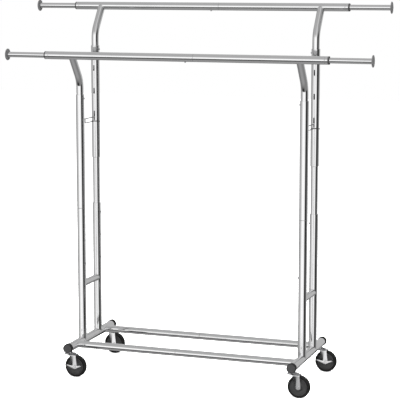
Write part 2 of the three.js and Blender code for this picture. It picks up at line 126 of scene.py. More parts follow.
class RackFinishSettings(bpy.types.PropertyGroup):
    """Colours and finishes of the rack."""
    chrome_colour: bpy.props.FloatVectorProperty(
        name="Chrome", description="Tint of the chrome plate", subtype="COLOR", size=3,
        min=0, max=1, default=(0.83, 0.83, 0.835))
    chrome_roughness: bpy.props.FloatProperty(
        name="Chrome roughness", description="How blurred the chrome mirrors", min=0, max=1, default=0.06)
    zinc_colour: bpy.props.FloatVectorProperty(
        name="Zinc", description="Tint of the zinc-plated caster parts", subtype="COLOR", size=3,
        min=0, max=1, default=(0.66, 0.66, 0.67))
    plastic_colour: bpy.props.FloatVectorProperty(
        name="Black plastic", description="Colour of the foot caps and rod bushes", subtype="COLOR", size=3,
        min=0, max=1, default=(0.024, 0.024, 0.0245))
    disc_colour: bpy.props.FloatVectorProperty(
        name="Grey plastic", description="Colour of the rod end discs", subtype="COLOR", size=3,
        min=0, max=1, default=(0.06, 0.06, 0.061))
    wheel_colour: bpy.props.FloatVectorProperty(
        name="Wheel centre", description="Colour of the wheel centres", subtype="COLOR", size=3,
        min=0, max=1, default=(0.015, 0.015, 0.0153))
    # Also the painted shade on the foot caps' rims and skirts.
    tyre_and_cap_rim_shade_colour: bpy.props.FloatVectorProperty(
        name="Tyre", description="Colour of the rubber tyres", subtype="COLOR", size=3,
        min=0, max=1, default=(0.004, 0.004, 0.004))


class RackShapeSettings(bpy.types.PropertyGroup):
    """Sizes of the details that the CAD frame doesn't fix."""
    tube_sides: bpy.props.IntProperty(
        name="Tube facets", description="Facets round a tube", min=24, max=128, default=72)
    wall: bpy.props.FloatProperty(
        name="Tube wall", description="Wall of the plain tubes", unit="LENGTH", min=0.0005, default=1.5 * MM)
    roll: bpy.props.FloatProperty(
        name="Seam rolling", description="Rounding where two halves of a tube meet", unit="LENGTH", min=0,
        default=1.1 * MM)
    edge: bpy.props.FloatProperty(
        name="Edge rounding", description="Rounding of the tube ends", unit="LENGTH", min=0, default=0.5 * MM)
    bead: bpy.props.FloatProperty(
        name="Weld bead", description="Radius of the weld beads", unit="LENGTH", min=0.0002, default=1.1 * MM)
    bend_steps: bpy.props.IntProperty(
        name="Bend steps", description="Rings along the bend of an arm", min=4, max=64, default=24)


class RackStageSettings(bpy.types.PropertyGroup):
    """Camera, floor and light."""
    azimuth: bpy.props.FloatProperty(
        name="Azimuth", description="Camera direction, from the front towards the right", subtype="ANGLE",
        default=math.radians(19.35))
    elevation: bpy.props.FloatProperty(
        name="Elevation", description="Camera height angle", subtype="ANGLE", default=math.radians(8.52))
    distance: bpy.props.FloatProperty(
        name="Distance", description="Camera distance from its aim", unit="LENGTH", default=6.663)
    lens: bpy.props.FloatProperty(
        name="Lens", description="Focal length on a 36 mm sensor, in millimetres", default=134.5)
    aim: bpy.props.FloatVectorProperty(
        name="Aim", description="Point that the camera looks at", subtype="TRANSLATION", size=3,
        default=(0.0183, 0.0, 0.7975))
    floor_size: bpy.props.FloatProperty(
        name="Floor size", description="Side of the floor", unit="LENGTH", default=30.0)
    key_power: bpy.props.FloatProperty(
        name="Key light", description="Power of the overhead soft light, in watts", default=900.0)


def finish():
    return bpy.context.scene.rack_finish


def shape():
    return bpy.context.scene.rack_shape


# ---- Modelling helpers --------------------------------------------------------------------------

def deselect_all():
    if bpy.context.mode != "OBJECT":
        bpy.ops.object.mode_set(mode="OBJECT")
    bpy.ops.object.select_all(action="DESELECT")


def only(piece):
    deselect_all()
    piece.select_set(True)
    bpy.context.view_layer.objects.active = piece
    return piece


def edit(piece, mode="FACE", select="SELECT"):
    """Opens the piece in edit mode with everything selected, or nothing if select is DESELECT."""
    only(piece)
    bpy.ops.object.mode_set(mode="EDIT")
    bpy.ops.mesh.select_mode(type=mode)
    bpy.ops.mesh.select_all(action=select)


def pick(piece, kind, test):
    """Opens the piece in edit mode with only the vertices, edges or faces that pass the test selected."""
    edit(piece, {"vertices": "VERT", "edges": "EDGE", "polygons": "FACE"}[kind], "DESELECT")
    bpy.ops.object.mode_set(mode="OBJECT")
    for element in getattr(piece.data, kind):
        element.select = test(element)
    bpy.ops.object.mode_set(mode="EDIT")


def new_primitive(name):
    piece = bpy.context.object
    piece.name = name
    piece.data.name = name
    return piece


def set_down(piece, turn=UPRIGHT, place=(0, 0, 0)):
    """Turns the piece about the origin, then moves it, in its mesh."""
    only(piece)
    piece.matrix_world = Matrix.Translation(place) @ turn
    bpy.ops.object.transform_apply(location=True, rotation=True, scale=True)
    return piece


def outward_faces(piece):
    edit(piece)
    bpy.ops.mesh.remove_doubles(threshold=1e-6)
    bpy.ops.mesh.normals_make_consistent(inside=False)
    bpy.ops.object.mode_set(mode="OBJECT")


def turned(name, outline, sides=None):
    """Turns an outline of (radius, height) round Z. One that ends where it starts makes a ring or tube."""
    hollow = outline[0] == outline[-1]
    radius, height = outline[0]
    deselect_all()
    bpy.ops.mesh.primitive_circle_add(
        vertices=sides or shape().tube_sides, radius=radius, location=(0, 0, 0),
        fill_type="NOTHING" if hollow else "NGON")
    piece = new_primitive(name)
    edit(piece, "EDGE" if hollow else "FACE")
    bpy.ops.transform.translate(value=(0, 0, height))
    for new_radius, new_height in outline[1:-1] if hollow else outline[1:]:
        bpy.ops.mesh.extrude_region_move(
            TRANSFORM_OT_translate={"value": (0, 0, new_height - height)})
        factor = new_radius / radius
        bpy.ops.transform.resize(value=(factor, factor, 1), center_override=(0, 0, new_height))
        radius, height = new_radius, new_height
    if hollow:
        bpy.ops.mesh.select_all(action="DESELECT")
        bpy.ops.mesh.select_non_manifold(extend=False)
        bpy.ops.mesh.bridge_edge_loops()
    bpy.ops.object.mode_set(mode="OBJECT")
    outward_faces(piece)
    return piece


def rounded(radius, height, rounding, turn_in, rise, steps=4):
    """Outline points of a rounded corner at (radius, height); it starts along rise and ends along turn_in."""
    points = []
    for step in range(steps + 1):
        angle = step / steps * math.pi / 2
        r = radius + turn_in * rounding * (1 - math.cos(angle))
        z = height - rise * rounding * (1 - math.sin(angle))
        points.append((r, z))
    return points


def tube_outline(radius, bore, low, high, roll=None):
    """A tube with rounded edges at both ends; roll widens the outer rounding of the upper end."""
    edge = min(shape().edge, (radius - bore) / 3)
    points = rounded(radius, high, roll or edge, -1, 1)
    points += reversed(rounded(bore, high, min(edge, 0.3 * MM), 1, 1))
    points += rounded(bore, low, edge, 1, -1)
    points += reversed(rounded(radius, low, edge, -1, -1))
    return points + [points[0]]


def single_vertex(name, point):
    """A mesh of one selected vertex, left in edit mode."""
    deselect_all()
    bpy.ops.mesh.primitive_plane_add(size=MM, location=(0, 0, 0))
    piece = new_primitive(name)
    edit(piece, "VERT")
    bpy.ops.mesh.merge(type="CENTER")
    bpy.ops.mesh.select_all(action="SELECT")
    bpy.ops.transform.translate(value=point)
    return piece


def chain(name, points):
    """A line of edges through the points, left in edit mode with all selected."""
    piece = single_vertex(name, points[0])
    for start, end in zip(points, points[1:]):
        step = Vector(end) - Vector(start)
        bpy.ops.mesh.extrude_region_move(TRANSFORM_OT_translate={"value": step})
    bpy.ops.mesh.select_all(action="SELECT")
    return piece


def plate(name, points, thickness, y=0.0):
    """A flat outline of (x, z) points, given a thickness along Y and centred on the given y."""
    piece = chain(name, [(x, 0, z) for x, z in points])
    bpy.ops.mesh.edge_face_add()
    bpy.ops.mesh.select_all(action="SELECT")
    bpy.ops.transform.translate(value=(0, y - thickness / 2, 0))
    bpy.ops.mesh.extrude_region_move(TRANSFORM_OT_translate={"value": (0, thickness, 0)})
    bpy.ops.object.mode_set(mode="OBJECT")
    outward_faces(piece)
    return piece


def wire(name, points, radius, bend=0.0):
    """A round wire through the points, with its corners bent round."""
    piece = chain(name, points)
    if bend:
        bpy.ops.mesh.bevel(offset=bend, segments=7, affect="VERTICES", clamp_overlap=True)
    bpy.ops.object.mode_set(mode="OBJECT")
    return line_to_wire(piece, radius)


def line_to_wire(piece, radius, resolution=4):
    """Gives a line of edges a round section."""
    only(piece)
    bpy.ops.object.convert(target="CURVE")
    line = bpy.context.object
    line.data.bevel_depth = radius
    line.data.bevel_resolution = resolution
    line.data.use_fill_caps = True
    bpy.ops.object.convert(target="MESH")
    made = bpy.context.object
    outward_faces(made)
    return made


def add_modifier(piece, kind, **settings):
    only(piece)
    modifier = piece.modifiers.new(kind.title(), kind)
    for key, value in settings.items():
        setattr(modifier, key, value)
    bpy.ops.object.modifier_apply(modifier=modifier.name)


def soften(piece, width, segments=2, angle=35):
    """Rounds the sharp edges of a piece."""
    add_modifier(
        piece, "BEVEL", width=width, segments=segments, limit_method="ANGLE",
        angle_limit=math.radians(angle), use_clamp_overlap=True, harden_normals=False)


def cut_away(piece, tool, operation="DIFFERENCE"):
    """Takes the tool out of the piece, or keeps what they share, and deletes the tool."""
    add_modifier(piece, "BOOLEAN", object=tool, operation=operation, solver="EXACT")
    bpy.data.objects.remove(tool)


def joined(name, *pieces):
    only(pieces[0])
    for piece in pieces[1:]:
        piece.select_set(True)
    bpy.ops.object.join()
    return new_primitive(name)


def copy_of(piece, name, turn=UPRIGHT, place=(0, 0, 0)):
    """A copy with its own mesh, turned about the origin and then moved."""
    twin = piece.copy()
    twin.data = piece.data.copy()
    twin.name = name
    twin.data.name = name
    bpy.context.scene.collection.objects.link(twin)
    set_down(twin, turn, place)
    return twin


def mirrored(piece, name, axis):
    """A mirror image of the piece across the plane through the origin that the axis names."""
    scale = [1, 1, 1]
    scale["XYZ".index(axis)] = -1
    twin = copy_of(piece, name, Matrix.Diagonal((*scale, 1)))
    outward_faces(twin)
    return twin


def drill(radius, depth, sides=32):
    """A round cutter along +Z from the origin."""
    deselect_all()
    bpy.ops.mesh.primitive_cylinder_add(vertices=sides, radius=radius, depth=depth, location=(0, 0, 0))
    return set_down(new_primitive("drill"), UPRIGHT, (0, 0, depth / 2))


def cope(piece, radius, turn, x=0.0, y=0.0, z=0.0):
    """Cuts the piece to the round side of a tube through the point, whose axis is the turned Z."""
    reach = 0.6
    start = Vector((x, y, z)) - turn.to_3x3() @ Vector((0, 0, reach / 2))
    cut_away(piece, set_down(drill(radius - COPE, reach, COPE_SIDES), turn, start))


def button_hole(piece, turn, x=0.0, z=0.0):
    """Drills a snap button's hole from the tube's axis out through one wall."""
    cut_away(piece, set_down(drill(BUTTON_HOLE, ONE_WALL), turn, (x, 0, z)))


def hand_over(piece, node, material, smooth=30):
    """Gives the piece its material and smooth shading, and lets it stand for its CAD node."""
    only(piece)
    bpy.ops.object.shade_smooth_by_angle(angle=math.radians(smooth))
    add_modifier(piece, "WEIGHTED_NORMAL", mode="FACE_AREA", weight=50, keep_sharp=True)
    if material is not None:
        piece.data.materials.clear()
        piece.data.materials.append(material)
    piece.name = f"{node}_piece"
    piece.data.name = piece.name
    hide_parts(node)
    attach(piece, BODY_OF[node])
    return piece


def bead_round(piece, is_on_edge, radius=None):
    """A weld bead along the edges whose both ends pass the test; returns it as a separate piece."""
    twin = copy_of(piece, "bead")
    on = [is_on_edge(vertex.co) for vertex in twin.data.vertices]
    pick(twin, "edges", lambda line: on[line.vertices[0]] and on[line.vertices[1]])
    bpy.ops.mesh.select_all(action="INVERT")
    bpy.ops.mesh.delete(type="EDGE")
    bpy.ops.mesh.select_all(action="SELECT")
    bpy.ops.mesh.delete_loose(use_verts=True, use_edges=False, use_faces=False)
    bpy.ops.object.mode_set(mode="OBJECT")
    return line_to_wire(twin, radius or shape().bead, resolution=3)


# ---- Shader groups and materials ----------------------------------------------------------------

def new_group(name, inputs, outputs):
    group = bpy.data.node_groups.new(name, "ShaderNodeTree")
    for label, kind, default in inputs:
        socket = group.interface.new_socket(name=label, in_out="INPUT", socket_type=kind)
        if default is not None:
            socket.default_value = default
    for label, kind in outputs:
        group.interface.new_socket(name=label, in_out="OUTPUT", socket_type=kind)
    nodes = group.nodes
    return group, nodes.new("NodeGroupInput"), nodes.new("NodeGroupOutput")


def noise(nodes, links, vector, scale, detail=4.0, rough=0.5, stretch=None):
    texture = nodes.new("ShaderNodeTexNoise")
    texture.inputs["Scale"].default_value = scale
    texture.inputs["Detail"].default_value = detail
    texture.inputs["Roughness"].default_value = rough
    if stretch:
        mapping = nodes.new("ShaderNodeMapping")
        mapping.inputs["Scale"].default_value = stretch
        links.new(vector, mapping.inputs["Vector"])
        vector = mapping.outputs["Vector"]
    links.new(vector, texture.inputs["Vector"])
    return texture.outputs["Fac"]


def remap(nodes, links, value, from_min, from_max, to_min, to_max):
    node = nodes.new("ShaderNodeMapRange")
    limits = {"From Min": from_min, "From Max": from_max, "To Min": to_min, "To Max": to_max}
    for label, number in limits.items():
        node.inputs[label].default_value = number
    links.new(value, node.inputs["Value"])
    return node.outputs["Result"]


def calculate(nodes, links, operation, *terms):
    """A Math node; each term is a number or the output that feeds it."""
    node = nodes.new("ShaderNodeMath")
    node.operation = operation
    for socket, term in zip(node.inputs, terms):
        if isinstance(term, (int, float)):
            socket.default_value = term
        else:
            links.new(term, socket)
    return node.outputs[0]


def blend(nodes, links, kind, factor, a, b):
    """A Mix node for colours or numbers."""
    node = nodes.new("ShaderNodeMix")
    node.data_type = kind
    for label, value in (("Factor", factor), ("A", a), ("B", b)):
        links.new(value, node.inputs[label])
    return node.outputs["Result"]


def handling_marks_group():
    """Smudges, hairlines and a slow waviness of a polished plated surface."""
    group, given, result = new_group(
        "handling_marks",
        [("Vector", "NodeSocketVector", None), ("Base Roughness", "NodeSocketFloat", 0.1),
         ("Smudge Amount", "NodeSocketFloat", 0.06), ("Colour", "NodeSocketColor", (0.8, 0.8, 0.8, 1)),
         ("Dull Colour", "NodeSocketColor", (0.6, 0.6, 0.6, 1))],
        [("Roughness", "NodeSocketFloat"), ("Height", "NodeSocketFloat"), ("Colour", "NodeSocketColor")])
    nodes, links = group.nodes, group.links
    vector = given.outputs["Vector"]
    smudge = noise(nodes, links, vector, 9.0, 5.0, 0.6)
    smudge_mask = remap(nodes, links, smudge, 0.45, 0.75, 0.0, 1.0)
    hairline = noise(nodes, links, vector, 60.0, 3.0, 0.7, stretch=(6.0, 6.0, 0.5))
    hair_mask = remap(nodes, links, hairline, 0.6, 0.72, 0.0, 1.0)
    amount, base = given.outputs["Smudge Amount"], given.outputs["Base Roughness"]
    smudged = calculate(nodes, links, "MULTIPLY_ADD", smudge_mask, amount, base)
    marked = calculate(nodes, links, "MULTIPLY_ADD", hair_mask, 0.03, smudged)
    links.new(marked, result.inputs["Roughness"])
    wave = noise(nodes, links, vector, 14.0, 2.0, 0.4)
    links.new(wave, result.inputs["Height"])
    dulling = remap(nodes, links, smudge_mask, 0.0, 1.0, 0.0, 0.35)
    tint = blend(nodes, links, "RGBA", dulling, given.outputs["Colour"], given.outputs["Dull Colour"])
    links.new(tint, result.inputs["Colour"])
    return group


def moulded_skin_group():
    """Fine moulded texture with dust in it, for plastic and rubber."""
    group, given, result = new_group(
        "moulded_skin",
        [("Vector", "NodeSocketVector", None), ("Base Roughness", "NodeSocketFloat", 0.5),
         ("Grain Scale", "NodeSocketFloat", 700.0), ("Colour", "NodeSocketColor", (0.05, 0.05, 0.05, 1)),
         ("Dust Colour", "NodeSocketColor", (0.3, 0.29, 0.28, 1)), ("Dust", "NodeSocketFloat", 0.1)],
        [("Roughness", "NodeSocketFloat"), ("Height", "NodeSocketFloat"), ("Colour", "NodeSocketColor")])
    nodes, links = group.nodes, group.links
    vector = given.outputs["Vector"]
    grain = nodes.new("ShaderNodeTexNoise")
    grain.inputs["Detail"].default_value = 3.0
    links.new(given.outputs["Grain Scale"], grain.inputs["Scale"])
    links.new(vector, grain.inputs["Vector"])
    links.new(grain.outputs["Fac"], result.inputs["Height"])
    patches = noise(nodes, links, vector, 25.0, 4.0, 0.6)
    patch_mask = remap(nodes, links, patches, 0.4, 0.8, 0.0, 1.0)
    rough = calculate(nodes, links, "MULTIPLY_ADD", patch_mask, 0.12, given.outputs["Base Roughness"])
    links.new(rough, result.inputs["Roughness"])
    dusting = calculate(nodes, links, "MULTIPLY", patch_mask, given.outputs["Dust"])
    tint = blend(nodes, links, "RGBA", dusting, given.outputs["Colour"], given.outputs["Dust Colour"])
    links.new(tint, result.inputs["Colour"])
    return group


def surface(name, group_name, values, bump, distance, metallic=0.0, specular=0.5):
    """A material that takes its colour, roughness and bump from one of the shader groups."""
    made = bpy.data.materials.get(name)
    if made:
        return made
    made = bpy.data.materials.new(name)
    made.use_nodes = True
    nodes, links = made.node_tree.nodes, made.node_tree.links
    shader = nodes["Principled BSDF"]
    shader.inputs["Metallic"].default_value = metallic
    shader.inputs["Specular IOR Level"].default_value = specular
    group = bpy.data.node_groups.get(group_name)
    if group is None:
        group = {"handling_marks": handling_marks_group, "moulded_skin": moulded_skin_group}[group_name]()
    effect = nodes.new("ShaderNodeGroup")
    effect.node_tree = group
    for label, value in values.items():
        effect.inputs[label].default_value = value
    place = nodes.new("ShaderNodeTexCoord")
    links.new(place.outputs["Object"], effect.inputs["Vector"])
    links.new(effect.outputs["Colour"], shader.inputs["Base Color"])
    links.new(effect.outputs["Roughness"], shader.inputs["Roughness"])
    relief = nodes.new("ShaderNodeBump")
    relief.inputs["Strength"].default_value = bump
    relief.inputs["Distance"].default_value = distance
    links.new(effect.outputs["Height"], relief.inputs["Height"])
    links.new(relief.outputs["Normal"], shader.inputs["Normal"])
    return made


def plated(name, colour, dull_colour, roughness, smudges, bump, distance):
    """A bare metal surface with handling marks."""
    values = {"Base Roughness": roughness, "Smudge Amount": smudges, "Colour": (*colour, 1),
              "Dull Colour": (*dull_colour, 1)}
    return surface(name, "handling_marks", values, bump, distance, metallic=1.0)


def darker(colour, share):
    return [share * value for value in colour]


def chrome():
    colour, roughness = finish().chrome_colour, finish().chrome_roughness
    return plated("chrome_plate", colour, darker(colour, 0.86), roughness, 0.05, 0.012, 0.2 * MM)


def zinc():
    colour = finish().zinc_colour
    return plated("zinc_plate", colour, darker(colour, 0.75), 0.2, 0.14, 0.12, 0.15 * MM)


def wire_steel():
    return plated("wire_steel", (0.12, 0.12, 0.122), (0.08, 0.08, 0.08), 0.3, 0.1, 0.1, 0.1 * MM)


def moulded(name, colour, roughness, grain, dust, bump, distance, specular=0.5):
    """A plastic or rubber surface with a fine grain."""
    values = {"Base Roughness": roughness, "Grain Scale": grain, "Colour": (*colour, 1), "Dust": dust}
    return surface(name, "moulded_skin", values, bump, distance, specular=specular)


def black_plastic():
    return moulded("black_plastic_skin", finish().plastic_colour, 0.45, 900.0, 0.02, 0.12, 0.08 * MM, 0.2)


def grey_plastic():
    return moulded("grey_plastic_skin", finish().disc_colour, 0.42, 700.0, 0.04, 0.15, 0.08 * MM)


def wheel_plastic():
    return moulded("wheel_centre_skin", finish().wheel_colour, 0.4, 600.0, 0.03, 0.15, 0.1 * MM)


# Its dark colour also paints the shade on the foot caps' rims and skirts.
def tyre_rubber():
    return moulded("tyre_rubber", finish().tyre_and_cap_rim_shade_colour, 0.58, 500.0, 0.02, 0.25, 0.12 * MM, 0.15)


# ---- Base ---------------------------------------------------------------------------------------

class RACK_OT_feet(bpy.types.Operator):
    """Build the two foot tubes with their end caps."""
    bl_idname = "rack.feet"
    bl_label = "Feet"

    def execute(self, context):
        length = extent("foot_left").y
        bore = POST_RADIUS - shape().wall
        foot = turned("foot", tube_outline(POST_RADIUS, bore, -length / 2, length / 2))
        set_down(foot, ALONG_Y)
        # A plating drain hole high on the inner flank, behind the rear post.
        drain_y = POST_Y["rear"] + 41.5 * MM
        cut_away(foot, set_down(drill(3 * MM, ONE_WALL), turn_by(y=22), (0, drain_y, 0)))
        for name, side in SIDES:
            twin = mirrored(foot, "foot", "X") if side > 0 else copy_of(foot, "foot")
            set_down(twin, UPRIGHT, middle(f"foot_{name}"))
            hand_over(twin, f"foot_{name}", chrome())
        bpy.data.objects.remove(foot)
        cap = self.cap()
        for name, side in SIDES:
            for end_name, end in ENDS:
                node = f"foot_cap_{end_name}_{name}"
                low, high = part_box(node)
                face = low.y if end < 0 else high.y
                twin = copy_of(cap, node, turn_by(x=-end * 90), (middle(node).x, face, middle(node).z))
                hand_over(twin, node, None)
        bpy.data.objects.remove(cap)
        return {"FINISHED"}

    @staticmethod
    def cap():
        """A push-in cap that points along +Z, with its face at the origin; its rim and skirt take a darker
        material as painted shade.
        """
        rim = extent("foot_cap_front_left").x / 2
        plug = POST_RADIUS - shape().wall - CLEARANCE
        depth = extent("foot_cap_front_left").y
        skirt = 20 * MM
        flange = 5.4 * MM
        outline = [(plug - 0.8 * MM, -depth), (plug, -depth + 1 * MM)]
        for rib in range(3):
            at = -depth + (4 + 4 * rib) * MM
            outline += [(plug - 0.6 * MM, at), (plug, at + 0.8 * MM), (plug - 0.6 * MM, at + 1.6 * MM)]
        inside = POST_RADIUS + 0.2 * MM
        outline += [(plug - 0.6 * MM, -flange), (inside, -flange), (inside, -skirt), (rim - 0.8 * MM, -skirt)]
        outline += [(rim, -skirt + 0.8 * MM)]
        outline += rounded(rim, 0, 2.2 * MM, -1, 1, 6)
        outline += [(rim - 4.2 * MM, 0), (rim - 4.8 * MM, -0.5 * MM), (rim - 9 * MM, -0.6 * MM)]
        cap = turned("cap", outline)
        cap.data.materials.append(black_plastic())
        cap.data.materials.append(tyre_rubber())
        # Painted shade: every face that doesn't face forward takes the darker tyre rubber, so the rounded rim
        # and skirt look shaded.
        for face in cap.data.polygons:
            face.material_index = 0 if face.normal.z > 0.8 else 1
        return cap


class RACK_OT_end_frames(bpy.types.Operator):
    """Build the two welded end frames: lower posts and cross bar."""
    bl_idname = "rack.end_frames"
    bl_label = "End frames"

    def execute(self, context):
        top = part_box("end_frame_left")[1].z
        height = top - FOOT_Z
        bar_z = BAR_HEIGHT - FOOT_Z
        post = turned("post", tube_outline(POST_RADIUS, SLIDE_BORE, 0, height))
        cope(post, POST_RADIUS, ALONG_Y)
        for step in range(3):
            z = middle("height_button_front_left").z + step * HOLE_PITCH - FOOT_Z
            button_hole(post, ALONG_X, z=z)

        def on_saddle(point):
            outside = abs(math.hypot(point.x, point.y) - POST_RADIUS) < ON_SURFACE
            return outside and abs(math.hypot(point.x, point.z) - POST_RADIUS) < ON_SADDLE

        post = joined("post", post, bead_round(post, on_saddle))
        bar_bore = BAR_RADIUS - shape().wall
        bar = turned("bar", tube_outline(BAR_RADIUS, bar_bore, POST_Y["front"], POST_Y["rear"]))
        set_down(bar, ALONG_Y, (0, 0, bar_z))
        for end_name, _ in ENDS:
            cope(bar, POST_RADIUS, UPRIGHT, y=POST_Y[end_name], z=bar_z)

        def on_cope(point):
            outside = abs(math.hypot(point.x, point.z - bar_z) - BAR_RADIUS) < ON_SURFACE
            reach = math.hypot(point.x, abs(point.y) - POST_Y["rear"])
            return outside and abs(reach - POST_RADIUS) < ON_SADDLE

        bar = joined("bar", bar, bead_round(bar, on_cope))
        for name, side in SIDES:
            posts = [copy_of(post, "post", UPRIGHT, (0, POST_Y[end_name], 0)) for end_name, _ in ENDS]
            whole = joined("end_frame", *posts, copy_of(bar, "bar"))
            if side > 0:
                set_down(whole, HALF_TURN)
            set_down(whole, UPRIGHT, (POST_X[name], 0, FOOT_Z))
            hand_over(whole, f"end_frame_{name}", chrome())
        bpy.data.objects.remove(post)
        bpy.data.objects.remove(bar)
        return {"FINISHED"}


class RACK_OT_bottom_rails(bpy.types.Operator):
    """Build the halves of the two bottom rails."""
    bl_idname = "rack.bottom_rails"
    bl_label = "Bottom rails"

    def execute(self, context):
        radius = RAIL_RADIUS
        bore = radius - shape().wall
        plug = bore - CLEARANCE
        seam = RAIL_SEAM
        inner_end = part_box("bottom_rail_front_right")[0].x
        roll = shape().roll
        left = turned("rail", tube_outline(radius, bore, POST_X["left"], seam, roll))
        outline = [(plug, inner_end), (plug, seam + CLEARANCE)]
        outline += reversed(rounded(radius, seam + CLEARANCE, roll, -1, -1))
        outline += [(radius, POST_X["right"]), (bore, POST_X["right"])]
        outline += [(bore, seam + 2 * MM), (plug - shape().wall, seam), (plug - shape().wall, inner_end)]
        right = turned("rail", outline + [outline[0]])
        button_x = middle("rail_button_front").x
        lean = turn_by(x=90 + RAIL_BUTTON_DROP)
        for piece, name in ((left, "left"), (right, "right")):
            set_down(piece, ALONG_X)
            cope(piece, POST_RADIUS, ALONG_Y, x=POST_X[name])
            button_hole(piece, lean, x=button_x)

            def on_saddle(point, name=name):
                outside = abs(math.hypot(point.y, point.z) - radius) < ON_SURFACE
                reach = math.hypot(point.x - POST_X[name], point.z)
                return outside and abs(reach - POST_RADIUS) < ON_SADDLE

            whole = joined("rail", piece, bead_round(piece, on_saddle))
            for end_name, _ in ENDS:
                twin = copy_of(whole, "rail", UPRIGHT, (0, RAIL_Y[end_name], FOOT_Z))
                hand_over(twin, f"bottom_rail_{end_name}_{name}", chrome())
            bpy.data.objects.remove(whole)
        return {"FINISHED"}


# ---- Hang frames --------------------------------------------------------------------------------

class RACK_OT_upper_posts(bpy.types.Operator):
    """Build the four slotted upper posts with their drawn-down lower ends."""
    bl_idname = "rack.upper_posts"
    bl_label = "Upper posts"

    def execute(self, context):
        height = POST_TOP["front"] - POST_FOOT["front"]
        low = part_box("upper_post_front_left")[0].z - POST_FOOT["front"]
        bore = SLIDE_BORE
        narrow = INNER_RADIUS - shape().wall
        edge = shape().edge
        outline = [(INNER_RADIUS - edge, low), (INNER_RADIUS, low + edge), (INNER_RADIUS, 0.2 * MM)]
        outline += [(POST_RADIUS - 1.2 * MM, 0.2 * MM), (POST_RADIUS - 0.3 * MM, 0.6 * MM)]
        outline += [(POST_RADIUS, 1.5 * MM)]
        outline += rounded(POST_RADIUS, height, edge, -1, 1)
        outline += [(bore + edge, height), (bore, height - edge), (bore, 8 * MM)]
        outline += [(narrow, 6 * MM), (narrow, low)]
        post = turned("post", outline + [outline[0]])
        button_hole(post, ALONG_X, z=height - ARM_BUTTON_DEPTH)
        top_slot, slot_pitch = 102 * MM, 104 * MM
        for index in range(3):
            cut_away(post, self.slot(height - top_slot - index * slot_pitch))
        for name, side in SIDES:
            for end_name, end in ENDS:
                twin = copy_of(post, "post")
                if end > 0:
                    twin = self.flipped(twin, "Y")
                if side > 0:
                    twin = self.flipped(twin, "X")
                set_down(twin, UPRIGHT, (POST_X[name], POST_Y[end_name], POST_FOOT[end_name]))
                hand_over(twin, f"upper_post_{end_name}_{name}", chrome())
        bpy.data.objects.remove(post)
        return {"FINISHED"}

    @staticmethod
    def flipped(piece, axis):
        twin = mirrored(piece, piece.name, axis)
        bpy.data.objects.remove(piece)
        return twin

    @staticmethod
    def slot(height):
        """A cutter for one rounded slot in the +Y wall."""
        half_length = 10 * MM
        tool = drill(3 * MM, ONE_WALL, 24)
        for sign in (-1, 1):
            pick(tool, "vertices", lambda vertex, sign=sign: vertex.co.y * sign > -1e-7)
            bpy.ops.transform.translate(value=(0, sign * half_length, 0))
            bpy.ops.object.mode_set(mode="OBJECT")
        return set_down(tool, ALONG_Y, (0, 0, height))


